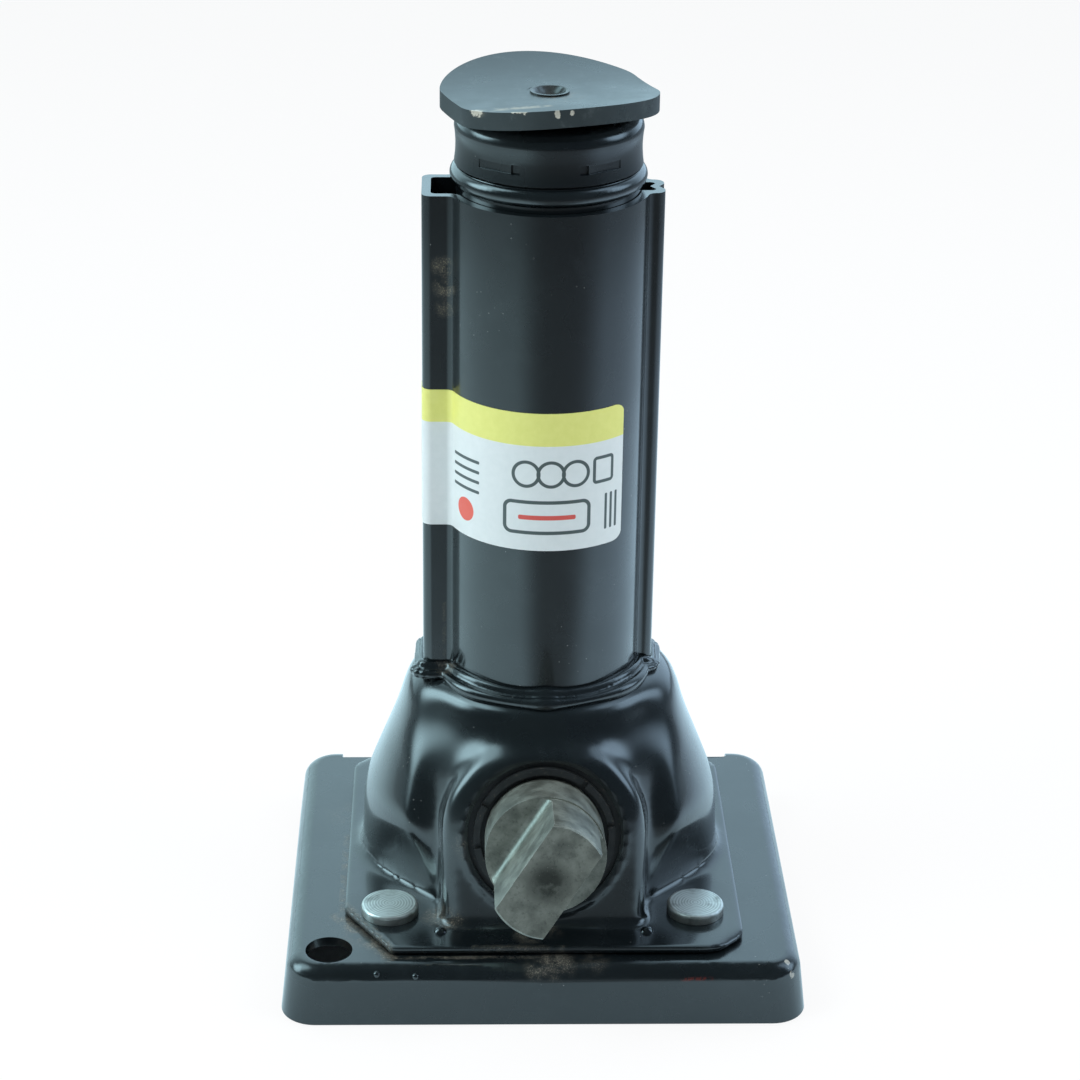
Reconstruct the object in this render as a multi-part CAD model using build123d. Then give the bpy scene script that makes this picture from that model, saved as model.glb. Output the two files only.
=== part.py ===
from build123d import *
import math
import os

# Bottle jack with a hand crank: two telescopic screw stages in a keyed column.
# Millimetres and degrees. The origin lies on the column axis, on the floor.
# +X is to the right, -Y is the front with the crank shaft, +Z is up.

# Base pan, pressed from sheet
base_width = 150.0
base_front_reach = 69.5
base_rear_reach = 62.0
base_height = 18.0
base_sheet = 2.8
base_corner_radius = 10.0
base_bend_radius = 4.8
side_skirt_flare = 2.2
end_skirt_flare = 0.6
rear_recess_width = 123.0
rear_recess_depth = 6.0
dish_floor_radius = 37.0
dish_wall_slope = 3.0
storage_hole_diameter = 13.3
storage_hole_side_margin = 13.8
storage_hole_front_margin = 11.2

# Gear housing, a pressed bell with a flange and a front boss
housing_sheet = 2.6
flange_width = 115.0
flange_front_reach = 61.5
flange_rear_reach = 55.0
flange_corner_radius = 12.0
flange_chamfer_width = 14.0
flange_chamfer_depth = 22.0
bell_base_radius = 53.2
bell_neck_radius = 37.4
bell_wall_height = 6.0
bell_shoulder_radius = 4.0
bell_wall_sections = 5
bell_cap_points = 4
bell_section_points = 16
rivet_pocket_depth = 7.0
rivet_pocket_height = 42.0
housing_top_height = 82.0

# Front boss and its round opening
shaft_tilt = 12.0
apex_height = 38.0
boss_face_distance = 46.4
boss_half_width = 29.5
boss_edge_radius = 5.0
boss_hole_radius = 22.3
boss_face_lip = 2.0

# Rivets that hold the housing on the base
rivet_head_diameter = 16.5
rivet_head_height = 2.9
rivet_head_edge = 0.9
rivet_shank_diameter = 8.0
rivet_tail_diameter = 13.0
rivet_tail_height = 2.2
rivet_x = 44.2
rivet_y = 42.0

# Outer column with a wide channel on the left and a narrow one on the right
column_radius = 28.25
column_wall = 2.5
column_top_height = 226.0
channel_floor_rise = 2.0
wide_ear_reach = 34.7
wide_ear_half_depth = 10.0
narrow_ear_reach = 31.9
narrow_ear_half_depth = 6.2
ear_root_radius = 2.4
ear_corner_radius = 2.6
stake_depth = 1.5
stake_height = 8.0
stake_half_width = 2.4
weld_leg = 2.4
weld_chamfer = 1.6

# Bevel gear pair
pinion_teeth = 12
crown_teeth = 30
gear_module = 2.5
pressure_angle = 22.5
pinion_shift = 0.3
tooth_backlash = 0.15
tooth_root_gap = 0.25
tooth_face_width = 12.0
flank_points = 5

# Thrust bearing under the crown gear
seat_thickness = 3.0
race_thickness = 3.0
race_outer_radius = 19.5
ball_radius = 3.0
ball_count = 12
ball_orbit_radius = 14.5
ball_groove_depth = 0.7
ball_clearance = 0.04
cage_thickness = 2.2
cage_rim = 0.6

# Main screw and crown gear hub
main_screw_radius = 10.5
pilot_radius = 8.0
main_hex_flats = 17.0
crown_hub_radius = 17.0
crown_hub_height = 11.0
crown_rim_thickness = 4.0
screw_stop_height = 3.0
screw_stop_reach = 1.5
screw_end_chamfer = 0.8

# Crank shaft and pinion
shaft_radius = 17.0
journal_radius = 16.8
journal_end_distance = 48.2
shaft_shoulder_distance = 63.9
tang_radius = 16.5
tang_length = 23.2
tang_thickness = 15.7
tang_turn = 56.5
tang_root_radius = 3.0
tang_edge_chamfer = 0.5
spigot_flats = 10.5
spigot_nose_radius = 4.0
washer_reach = 4.5
washer_thickness = 2.0
pinion_clip_thickness = 1.6
pinion_clip_reach = 2.2
pinion_back_rim = 2.0
pinion_nose_rim = 1.0
bush_flange_radius = 24.3
bush_wall_end_recess = 1.2
bush_lip_radius = 20.2
bush_lip_bore_radius = 18.3
bush_slot_width = 1.6
bush_slot_turns = (11.0, 54.0, 150.0, 188.0)
bush_lip_length = 2.4

# Middle stage
middle_tube_wall = 2.5
foot_height = 6.0
foot_upstand = 3.0
bead_radius = 2.6
bead_reach = 27.1
bead_rise = 4.1
middle_screw_radius = 16.5
middle_nut_height = 28.0
middle_relief = 2.0
middle_flange_radius = 22.0
middle_flange_height = 4.2
middle_collar_height = 2.2
middle_collar_radius = 20.0

# Ram stage
ram_tube_wall = 2.2
ram_foot_gap = 0.6
ram_head_room = 8.0
ram_nut_height = 28.0
ram_key_width = 4.0
ram_key_height = 12.0
ram_key_depth = 1.2
cap_foot_gap = 0.7
cap_height = 14.1
cap_radius = 25.9
cap_waist_radius = 25.5
cap_shoulder_radius = 4.2
cap_top_thickness = 3.0

# Saddle
saddle_radius = 29.8
saddle_half_length = 28.2
saddle_thickness = 4.9
saddle_trough_depth = 3.6
saddle_corner_radius = 12.0
saddle_turn = 20.0
saddle_rivet_radius = 6.3
saddle_rivet_shank_radius = 4.5
saddle_rivet_head_height = 1.5
saddle_rivet_dish = 1.1
saddle_rivet_dish_radius = 5.4
saddle_rivet_tail_radius = 8.0
saddle_rivet_tail_height = 1.6

# Clearances
running_clearance = 0.05
guide_clearance = 0.3
loose_clearance = 0.4
axial_clearance = 0.3

# Worked out sizes
flange_bottom = base_height
flange_top = flange_bottom + housing_sheet
bell_joint_height = flange_bottom + rivet_pocket_height
storage_hole_x = storage_hole_side_margin - base_width / 2
storage_hole_y = storage_hole_front_margin - base_front_reach
column_inner_radius = column_radius - column_wall
middle_tube_radius = column_inner_radius - guide_clearance
middle_tube_inner_radius = middle_tube_radius - middle_tube_wall
ram_tube_radius = middle_tube_inner_radius - guide_clearance
ram_tube_inner_radius = ram_tube_radius - ram_tube_wall
foot_bottom_height = housing_top_height + channel_floor_rise
middle_tube_bottom = foot_bottom_height + foot_height
bead_centre_height = column_top_height + bead_rise
cap_skirt_bottom_height = bead_centre_height + bead_radius + cap_foot_gap
cap_top_height = cap_skirt_bottom_height + cap_height
cap_ceiling_height = cap_top_height - cap_top_thickness
ram_tube_bottom_height = middle_tube_bottom + foot_upstand + ram_foot_gap
ram_nut_top = ram_tube_bottom_height + ram_nut_height
middle_screw_top = cap_ceiling_height - ram_head_room - saddle_rivet_tail_height
middle_stop_bottom = middle_screw_top - screw_stop_height
stage_travel = middle_stop_bottom - ram_nut_top - axial_clearance
middle_flange_top = foot_bottom_height - axial_clearance
middle_screw_bottom = middle_flange_top - middle_flange_height
middle_nut_top = middle_screw_bottom + middle_nut_height
main_stop_bottom = middle_nut_top + stage_travel + axial_clearance
main_screw_top = main_stop_bottom + screw_stop_height
middle_bore_radius = main_screw_radius + middle_relief
seat_bottom = base_sheet
lower_race_bottom = seat_bottom + seat_thickness
lower_race_top = lower_race_bottom + race_thickness
ball_centre_height = lower_race_top - ball_groove_depth + ball_radius
upper_race_bottom = ball_centre_height + ball_radius - ball_groove_depth
crown_bottom = upper_race_bottom + race_thickness
crown_hub_top = crown_bottom + crown_hub_height
pilot_bottom = seat_bottom + axial_clearance

# Bevel gear geometry: both pitch cones meet in one apex on the column axis
shaft_angle = 90.0 + shaft_tilt
gear_ratio = crown_teeth / pinion_teeth
pinion_cone = math.degrees(
    math.atan2(
        math.sin(math.radians(shaft_angle)),
        gear_ratio + math.cos(math.radians(shaft_angle)),
    )
)
crown_cone = shaft_angle - pinion_cone
crown_pitch_radius = gear_module * crown_teeth / 2
cone_distance = crown_pitch_radius / math.sin(math.radians(crown_cone))
inner_cone_distance = cone_distance - tooth_face_width

# Places along the tilted shaft, measured from the apex
pinion_front = cone_distance * math.cos(math.radians(pinion_cone)) + pinion_back_rim
pinion_nose = inner_cone_distance * math.cos(math.radians(pinion_cone)) - pinion_nose_rim
washer_start = pinion_front + axial_clearance
bush_start = washer_start + washer_thickness + axial_clearance
boss_wall_start = boss_face_distance - housing_sheet
tang_end = shaft_shoulder_distance + tang_length

shaft_direction = (0, -math.cos(math.radians(shaft_tilt)), math.sin(math.radians(shaft_tilt)))
shaft_plane = Plane(origin=(0, 0, apex_height), x_dir=(1, 0, 0), z_dir=shaft_direction)
shaft_axis = Axis((0, 0, apex_height), shaft_direction)


def involute(angle):
    """Involute function of an angle in radians."""
    return math.tan(angle) - angle


def ring(outer_radius, inner_radius, bottom, height):
    """Plain ring about the column axis."""
    face = Circle(outer_radius) - Circle(inner_radius)
    return extrude(Plane.XY.offset(bottom) * face, height)


def disc(radius, bottom, height):
    """Plain disc about the column axis."""
    return extrude(Plane.XY.offset(bottom) * Circle(radius), height)


def on_shaft(face, start, length):
    """Extrude a face that is drawn square to the tilted shaft."""
    return extrude(shaft_plane.offset(start) * face, length)


def rounded_plan(width, front, rear, radius):
    """Rounded rectangle in plan, from its front reach to its rear reach."""
    depth = front + rear
    return Pos(0, (rear - front) / 2) * RectangleRounded(width, depth, radius)


def pan_body(inset, height, bend):
    """Solid of the base pan's outer or inner form, flared towards the floor."""
    share = height / base_height
    foot = rounded_plan(
        base_width - 2 * inset,
        base_front_reach - inset,
        base_rear_reach - inset,
        base_corner_radius - inset / 2,
    )
    crown = rounded_plan(
        base_width - 2 * inset - 2 * side_skirt_flare * share,
        base_front_reach - inset - end_skirt_flare * share,
        base_rear_reach - inset - end_skirt_flare * share,
        base_corner_radius - inset / 2,
    )
    body = loft([foot, Plane.XY.offset(height) * crown], ruled=True)
    return fillet(body.faces().sort_by(Axis.Z)[-1].edges(), bend)


def dish_form(inset):
    """Solid of the dish that carries the thrust bearing, with a sloped wall."""
    floor_radius = dish_floor_radius + inset
    top_radius = floor_radius + dish_wall_slope
    floor = base_sheet - inset
    outline = Polyline(
        (0, floor),
        (floor_radius, floor),
        (top_radius, base_height),
        (0, base_height),
        close=True,
    )
    return revolve(Plane.XZ * make_face(outline), Axis.Z)


def rivet_places():
    """The four rivet places on the flange."""
    return [(sx * rivet_x, sy * rivet_y) for sx in (-1, 1) for sy in (-1, 1)]


def base_plate():
    """Pressed pan with a turned-down skirt and a central dish down to the floor."""
    pan = pan_body(0, base_height, base_bend_radius)
    hollow = pan_body(base_sheet, base_height - base_sheet, base_bend_radius - base_sheet)
    plate = pan - hollow
    plate += dish_form(base_sheet)
    plate -= dish_form(0)
    recess_front = base_rear_reach - rear_recess_depth
    recess = Pos(0, recess_front + rear_recess_depth, base_height / 2) * Box(
        rear_recess_width, 2 * rear_recess_depth, 2 * base_height
    )
    plate -= recess
    plate -= Pos(storage_hole_x, storage_hole_y) * Cylinder(
        storage_hole_diameter / 2, 3 * base_height
    )
    for x, y in rivet_places():
        plate -= Pos(x, y) * Cylinder(rivet_shank_diameter / 2, 3 * base_height)
    return plate


def bell_radius(height):
    """Outer radius of the bell's wall at a height, before the rivet pockets."""
    wall_top = flange_bottom + bell_wall_height
    share = max(0.0, height - wall_top) / (housing_top_height - wall_top)
    fall = share**2 * (3 - 2 * share)
    return bell_base_radius - (bell_base_radius - bell_neck_radius) * fall


def bell_section(height, inset):
    """Closed plan curve of the bell, drawn in beside the four rivets."""
    radius = bell_radius(height) - inset
    if height >= bell_joint_height:
        return Plane.XY.offset(height) * Circle(radius)
    pocket = rivet_pocket_depth * (bell_joint_height - height) / rivet_pocket_height
    points = []
    for step in range(bell_section_points):
        turn = 2 * math.pi * step / bell_section_points
        reach = radius - pocket * (1 - math.cos(4 * turn)) / 2
        points.append((reach * math.cos(turn), reach * math.sin(turn)))
    return Plane.XY.offset(height) * make_face(Spline(*points, periodic=True))


def bell_cap(inset):
    """Turned upper part of the bell, with its rounded shoulder."""
    bend = bell_shoulder_radius - inset
    wall_top = housing_top_height - bell_shoulder_radius
    rise = (wall_top - bell_joint_height) / (bell_cap_points - 1)
    heights = [bell_joint_height + rise * k for k in range(bell_cap_points)]
    wall = [(bell_radius(height) - inset, height) for height in heights]
    top_edge = (wall[-1][0] - bend, wall_top + bend)
    outline = Spline(*wall) + RadiusArc(wall[-1], top_edge, -bend)
    outline += Polyline(top_edge, (0, top_edge[1]), (0, bell_joint_height), wall[0])
    return revolve(Plane.XZ * make_face(outline), Axis.Z)


def bell_form(inset):
    """Solid of the bell: a wall with four pockets, then the turned cap."""
    rise = rivet_pocket_height / bell_wall_sections
    heights = [flange_bottom + rise * k for k in range(bell_wall_sections)]
    heights.append(bell_joint_height)
    return loft([bell_section(height, inset) for height in heights]) + bell_cap(inset)


def below_floor_of(height):
    """Large block that clears everything under a height."""
    return Pos(0, 0, height - base_width / 2) * Box(2 * base_width, 2 * base_width, base_width)


def boss_form(inset):
    """Solid of the arched boss that reaches forward along the tilted shaft."""
    half = boss_half_width - inset
    arch = Circle(half) + Pos(0, -apex_height) * Rectangle(2 * half, 2 * apex_height)
    body = on_shaft(arch, 0, boss_face_distance - inset)
    front = body.faces().sort_by(shaft_axis)[-1]
    body = fillet(front.edges(), boss_edge_radius - inset)
    return body - below_floor_of(flange_bottom)


def housing_form(inset):
    """Solid of the bell and its boss together, drawn in by an inset."""
    bell = bell_form(inset)
    ahead = on_shaft(
        Rectangle(2 * base_width, 2 * base_width),
        boss_face_distance - inset - boss_face_lip,
        base_width,
    )
    return bell - ahead + boss_form(inset)


def flange_outline():
    """Plan of the flange, with its cut front-left corner."""
    depth = flange_front_reach + flange_rear_reach
    sheet = Pos(0, (flange_rear_reach - flange_front_reach) / 2) * Rectangle(flange_width, depth)
    corners = sheet.vertices()
    cut_corner = corners.group_by(Axis.Y)[0].sort_by(Axis.X)[0]
    sheet = chamfer(cut_corner, flange_chamfer_depth, flange_chamfer_width)
    rest = [v for v in sheet.vertices() if v.X > 0 or v.Y > 0]
    return fillet(rest, flange_corner_radius)


def gear_housing():
    """Pressed bell on its flange, with the shaft opening in the front boss."""
    flange = extrude(Plane.XY.offset(flange_bottom) * flange_outline(), housing_sheet)
    shell = housing_form(0) + flange
    shell -= housing_form(housing_sheet)
    shell -= disc(column_inner_radius, housing_top_height - 2 * housing_sheet, 4 * housing_sheet)
    shell -= on_shaft(Circle(boss_hole_radius), pinion_front, boss_face_distance)
    for x, y in rivet_places():
        shell -= Pos(x, y, flange_bottom) * Cylinder(rivet_shank_diameter / 2, 4 * housing_sheet)
    return shell


def housing_rivets():
    """Four flat-head rivets through the flange and the pan."""
    shank_length = base_sheet + housing_sheet
    rivets = []
    for x, y in rivet_places():
        shank_bottom = base_height - base_sheet
        shank = Pos(x, y) * disc(rivet_shank_diameter / 2, shank_bottom, shank_length)
        head = Pos(x, y) * disc(rivet_head_diameter / 2, flange_top, rivet_head_height)
        head = fillet(head.edges().sort_by(Axis.Z)[-1], rivet_head_edge)
        tail = Pos(x, y) * disc(
            rivet_tail_diameter / 2, shank_bottom - rivet_tail_height, rivet_tail_height
        )
        tail = chamfer(tail.edges().sort_by(Axis.Z)[0], rivet_tail_height / 3)
        rivets.append((shank + head + tail).solid())
    return Compound(children=rivets)


def ear_plan(side, reach, half_depth, inset):
    """Plan of one side channel, from the column axis to its outer wall."""
    length = reach - inset
    return Pos(side * length / 2, 0) * Rectangle(length, 2 * (half_depth - inset))


def ear_side_reach(inset):
    """Least distance from the middle plane at which a channel leaves the tube."""
    return math.sqrt((column_radius - inset) ** 2 - wide_ear_half_depth**2) - ear_root_radius


def column_form(inset, bottom, height):
    """Solid of the column's outline: a round bar with a rib on each side."""
    outline = Circle(column_radius - inset)
    outline += ear_plan(-1, wide_ear_reach, wide_ear_half_depth, inset)
    outline += ear_plan(1, narrow_ear_reach, narrow_ear_half_depth, inset)
    form = extrude(Plane.XY.offset(bottom) * outline, height)
    upright = form.edges().filter_by(Axis.Z)
    tips = [e for e in upright if abs(e.center().X) > column_radius - inset]
    form = fillet(tips, ear_corner_radius - inset / 2)
    upright = form.edges().filter_by(Axis.Z)
    root_reach = column_radius - inset - ear_root_radius / 4
    roots = [e for e in upright if ear_side_reach(inset) < abs(e.center().X) < root_reach]
    return fillet(roots, ear_root_radius + inset / 2)


def outer_tube():
    """Rolled column with its two channels."""
    height = column_top_height - housing_top_height
    outer = column_form(0, housing_top_height, height)
    tube = outer - column_form(column_wall, housing_top_height, height)
    tube += stake_dent(narrow_ear_reach - column_wall)
    return tube - stake_dent(narrow_ear_reach)


def stake_dent(reach):
    """Notch form pressed in at the top of the narrow channel, to hold the foot in."""
    notch = Polyline(
        (reach, -stake_half_width),
        (reach - stake_depth, 0),
        (reach, stake_half_width),
        close=True,
    )
    bottom = column_top_height - stake_height
    return extrude(Plane.XY.offset(bottom) * make_face(notch), stake_height)


def column_weld():
    """Weld bead round the foot of the column."""
    bead = column_form(-weld_leg, housing_top_height, weld_leg)
    top = bead.faces().sort_by(Axis.Z)[-1]
    bead = chamfer(top.edges(), weld_chamfer)
    return bead - column_form(0, housing_top_height, 2 * weld_leg)


def bearing_seat():
    """Steel plate in the dish, with the pilot hole of the main screw."""
    return ring(
        dish_floor_radius - loose_clearance,
        pilot_radius + running_clearance,
        seat_bottom,
        seat_thickness,
    )


def bearing_race(bottom, groove_height):
    """Washer with a ball groove on the side that faces the balls."""
    race = ring(race_outer_radius, pilot_radius + running_clearance, bottom, race_thickness)
    groove = Pos(ball_orbit_radius, groove_height) * Circle(ball_radius + ball_clearance)
    return race - revolve(Plane.XZ * groove, Axis.Z)


def thrust_balls():
    """Ring of steel balls."""
    balls = [
        location * Sphere(ball_radius)
        for location in Pos(0, 0, ball_centre_height)
        * PolarLocations(ball_orbit_radius, ball_count)
    ]
    return Compound(children=[ball.solid() for ball in balls])


def ball_cage():
    """Flat cage that spaces the balls."""
    inner = ball_orbit_radius - ball_radius - cage_rim
    outer = ball_orbit_radius + ball_radius + cage_rim
    cage = ring(outer, inner, ball_centre_height - cage_thickness / 2, cage_thickness)
    pocket_radius = ball_radius + 2 * ball_clearance
    pockets = Pos(0, 0, ball_centre_height) * PolarLocations(ball_orbit_radius, ball_count)
    for location in pockets:
        cage -= location * Cylinder(pocket_radius, 2 * cage_thickness)
    return cage


def tooth_space(teeth, cone, shift, near, far):
    """Cutter for one tooth space of a straight bevel gear.

    The gear's apex is the origin and its axis is +Z. The flanks are involutes
    drawn on the back cone, and they run straight to the apex.
    """
    alpha = math.radians(pressure_angle)
    back_radius = gear_module * teeth / 2 / math.cos(math.radians(cone))
    base_radius = back_radius * math.cos(alpha)
    back_teeth = 2 * back_radius / gear_module
    thickness = gear_module * (math.pi / 2 + 2 * shift * math.tan(alpha)) - tooth_backlash
    root_radius = back_radius - gear_module * (1 + tooth_root_gap - shift)
    outer_radius = back_radius + gear_module * (1 + shift + tooth_root_gap)
    start_radius = max(base_radius, root_radius)
    half_space = math.pi / back_teeth - thickness / (2 * back_radius)

    def flank_point(radius):
        angle_there = math.acos(min(1.0, base_radius / radius))
        half = half_space - involute(alpha) + involute(angle_there)
        return radius * math.sin(half), radius * math.cos(half) - back_radius

    radii = [
        start_radius + (outer_radius - start_radius) * k / (flank_points - 1)
        for k in range(flank_points)
    ]
    right = [flank_point(radius) for radius in radii]
    left = [(-u, v) for u, v in right]
    edges = Spline(*right) + Spline(*left) + Line(right[-1], left[-1])
    if start_radius > root_radius:
        foot = (right[0][0] * root_radius / start_radius, root_radius - back_radius)
        edges += Polyline(right[0], foot, (-foot[0], foot[1]), left[0])
    else:
        edges += Line(right[0], left[0])
    outline = make_face(edges)
    cone_turn = math.radians(cone)
    along = (math.sin(cone_turn), 0, math.cos(cone_turn))
    sections = []
    for distance in (near, far):
        place = Plane(
            origin=tuple(distance * share for share in along),
            x_dir=(0, -1, 0),
            z_dir=along,
        )
        sections.append(place * scale(outline, distance / cone_distance))
    return loft(sections, ruled=True)


def cone_point(distance, cone, outward):
    """Point in the axial plane of a bevel gear, square off its pitch cone."""
    turn = math.radians(cone)
    radius = distance * math.sin(turn) + outward * math.cos(turn)
    return radius, distance * math.cos(turn) - outward * math.sin(turn)


def bevel_gear(teeth, cone, shift, back_points):
    """Straight bevel gear about +Z with its apex at the origin."""
    addendum = gear_module * (1 + shift)
    toe_share = inner_cone_distance / cone_distance
    heel_tip = cone_point(cone_distance, cone, addendum)
    toe_tip = cone_point(inner_cone_distance, cone, addendum * toe_share)
    outline = Polyline(heel_tip, toe_tip, *back_points, close=True)
    gear = revolve(Plane.XZ * make_face(outline), Axis.Z)
    cutter = tooth_space(
        teeth, cone, shift, inner_cone_distance / 2, cone_distance + tooth_face_width
    )
    cutters = [Rot(0, 0, 360 * k / teeth) * cutter for k in range(teeth)]
    return gear - cutters


def crown_gear():
    """Large bevel gear keyed on the main screw, teeth up."""
    root_depth = gear_module * (1 + tooth_root_gap + pinion_shift)
    toe_share = inner_cone_distance / cone_distance
    toe_root = cone_point(inner_cone_distance, crown_cone, -root_depth * toe_share)
    heel_root = cone_point(cone_distance, crown_cone, -root_depth)
    hub_face = apex_height - crown_hub_top
    back_face = apex_height - crown_bottom
    back_points = [
        toe_root,
        (crown_hub_radius, toe_root[1]),
        (crown_hub_radius, hub_face),
        (0, hub_face),
        (0, back_face),
        (crown_hub_radius + crown_rim_thickness, back_face),
        (heel_root[0], heel_root[1] + crown_rim_thickness),
        heel_root,
    ]
    gear = bevel_gear(crown_teeth, crown_cone, -pinion_shift, back_points)
    gear = Pos(0, 0, apex_height) * Rot(180, 0, 0) * Rot(0, 0, 90) * gear
    return gear - hex_bar(main_hex_flats, 0, housing_top_height)


def hex_bar(flats, bottom, height):
    """Hexagonal bar about the column axis, by its size across flats."""
    face = RegularPolygon(flats / 2, 6, major_radius=False)
    return extrude(Plane.XY.offset(bottom) * face, height)


def main_screw():
    """Main screw: pilot, hexagon for the crown gear, threaded shank."""
    screw = disc(pilot_radius, pilot_bottom, crown_bottom - pilot_bottom)
    screw += hex_bar(main_hex_flats, crown_bottom, crown_hub_height)
    shank = disc(main_screw_radius, crown_hub_top, main_screw_top - crown_hub_top)
    shank = chamfer(shank.edges().sort_by(Axis.Z)[-1], screw_end_chamfer)
    return screw + shank


def main_screw_stop():
    """Ring at the top of the main screw that ends the middle stage's travel."""
    return ring(
        main_screw_radius + screw_stop_reach,
        main_screw_radius,
        main_stop_bottom,
        screw_stop_height - screw_end_chamfer,
    )


def drive_pinion():
    """Small bevel gear on the spigot of the crank shaft."""
    root_depth = gear_module * (1 + tooth_root_gap - pinion_shift)
    toe_share = inner_cone_distance / cone_distance
    toe_root = cone_point(inner_cone_distance, pinion_cone, -root_depth * toe_share)
    heel_root = cone_point(cone_distance, pinion_cone, -root_depth)
    back_points = [
        (toe_root[0], pinion_nose),
        (0, pinion_nose),
        (0, pinion_front),
        (heel_root[0], pinion_front),
    ]
    gear = bevel_gear(pinion_teeth, pinion_cone, pinion_shift, back_points)
    turned = Rot(0, 0, 90 + 180 / pinion_teeth) * gear
    placed = shaft_plane * turned
    spigot = RegularPolygon(spigot_flats / 2, 6, major_radius=False)
    return placed - on_shaft(spigot, 0, cone_distance)


def pinion_clip():
    """Spring clip on the nose of the crank shaft."""
    outer = Circle(spigot_flats / 2 + pinion_clip_reach) - Circle(spigot_nose_radius)
    return on_shaft(outer, pinion_nose - pinion_clip_thickness, pinion_clip_thickness)


def drive_shaft():
    """Crank shaft: hexagonal spigot, round journal, then a head with a flat tang."""
    spigot = RegularPolygon(spigot_flats / 2, 6, major_radius=False)
    shaft = on_shaft(spigot, pinion_nose, pinion_front - pinion_nose)
    nose_length = pinion_clip_thickness + pinion_clip_reach
    shaft += on_shaft(Circle(spigot_nose_radius), pinion_nose - nose_length, nose_length)
    shaft += on_shaft(Circle(journal_radius), pinion_front, journal_end_distance - pinion_front)
    head_length = shaft_shoulder_distance - journal_end_distance
    shaft += on_shaft(Circle(shaft_radius), journal_end_distance, head_length)
    tang = on_shaft(Circle(tang_radius), shaft_shoulder_distance, tang_length)
    front = tang.faces().sort_by(shaft_axis)[-1]
    tang = chamfer(front.edges(), tang_edge_chamfer)
    for side in (-1, 1):
        tang -= tang_side_cut(side)
    return shaft + tang


def tang_side_cut(side):
    """Milled flat beside the tang, with the cutter's round run-out."""
    depth = shaft_radius
    low = tang_thickness / 2
    start = shaft_shoulder_distance
    end = tang_end + tang_root_radius
    run_out_start = (low + tang_root_radius, start)
    run_out_end = (low, start + tang_root_radius)
    outline = Polyline(
        run_out_end,
        (low, end),
        (low + depth, end),
        (low + depth, start),
        run_out_start,
    )
    outline += RadiusArc(run_out_start, run_out_end, tang_root_radius)
    profile = make_face(outline)
    across = Plane(origin=(0, 0, 0), x_dir=(0, side, 0), z_dir=(side, 0, 0))
    cut = extrude(across * profile, 2 * shaft_radius, both=True)
    return shaft_plane * Rot(0, 0, tang_turn) * cut


def pinion_washer():
    """Steel thrust washer behind the pinion."""
    face = Circle(shaft_radius + washer_reach) - Circle(journal_radius + running_clearance)
    return on_shaft(face, washer_start, washer_thickness)


def pinion_bush():
    """Moulded bush in the boss, with a flange on its inner side."""
    bore = Circle(journal_radius + running_clearance)
    flange = Circle(bush_flange_radius) - bore
    sleeve = Circle(boss_hole_radius - running_clearance) - bore
    bush = on_shaft(flange, bush_start, boss_wall_start - bush_start)
    return bush + on_shaft(sleeve, boss_wall_start, housing_sheet - bush_wall_end_recess)


def bush_lip():
    """Segmented snap ring that shows between the boss and the shaft."""
    start = boss_face_distance - bush_wall_end_recess
    lip_ring = Circle(bush_lip_radius) - Circle(bush_lip_bore_radius)
    lip = on_shaft(lip_ring, start, bush_lip_length)
    slot_length = 3 * (bush_lip_radius - bush_lip_bore_radius)
    slot = Pos(bush_lip_radius, 0) * Rectangle(slot_length, bush_slot_width)
    for turn in bush_slot_turns:
        lip -= on_shaft(Rot(0, 0, turn) * slot, start + bush_lip_length / 2, bush_lip_length)
    return lip


def middle_foot():
    """Foot ring of the middle stage, with a guide lug in each channel."""
    foot = disc(middle_tube_radius, foot_bottom_height, foot_height)
    wide_reach = wide_ear_reach - column_wall - guide_clearance
    narrow_reach = narrow_ear_reach - column_wall - guide_clearance
    wide_width = 2 * (wide_ear_half_depth - column_wall - guide_clearance)
    narrow_width = 2 * (narrow_ear_half_depth - column_wall - guide_clearance)
    lugs = Pos(-wide_reach / 2, 0) * Rectangle(wide_reach, wide_width)
    lugs += Pos(narrow_reach / 2, 0) * Rectangle(narrow_reach, narrow_width)
    lugs = chamfer(lugs.vertices().group_by(Axis.X)[0], ear_corner_radius / 2)
    lugs = chamfer(lugs.vertices().group_by(Axis.X)[-1], ear_corner_radius / 2)
    foot += extrude(Plane.XY.offset(foot_bottom_height) * lugs, foot_height)
    foot += disc(middle_tube_inner_radius, middle_tube_bottom, foot_upstand)
    foot -= disc(middle_screw_radius + running_clearance, foot_bottom_height, 2 * foot_height)
    recess = middle_collar_radius + loose_clearance
    foot -= disc(recess, middle_tube_bottom, foot_upstand)
    return foot


def middle_tube():
    """Middle tube with its rolled top bead and the groove for the ram key."""
    top = bead_centre_height + bead_radius
    height = top - middle_tube_bottom
    tube = ring(middle_tube_radius, middle_tube_inner_radius, middle_tube_bottom, height)
    bead = Pos(bead_reach - bead_radius, bead_centre_height) * Circle(bead_radius)
    bead = revolve(Plane.XZ * bead, Axis.Z)
    tube += bead - disc(middle_tube_inner_radius, middle_tube_bottom, 2 * top)
    groove_reach = ram_tube_radius + ram_key_depth + guide_clearance
    groove_width = ram_key_width + 2 * guide_clearance
    groove_height = bead_centre_height - bead_radius - middle_tube_bottom
    groove = Pos(0, groove_reach / 2) * Rectangle(groove_width, groove_reach)
    return tube - extrude(Plane.XY.offset(middle_tube_bottom) * groove, groove_height)


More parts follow.
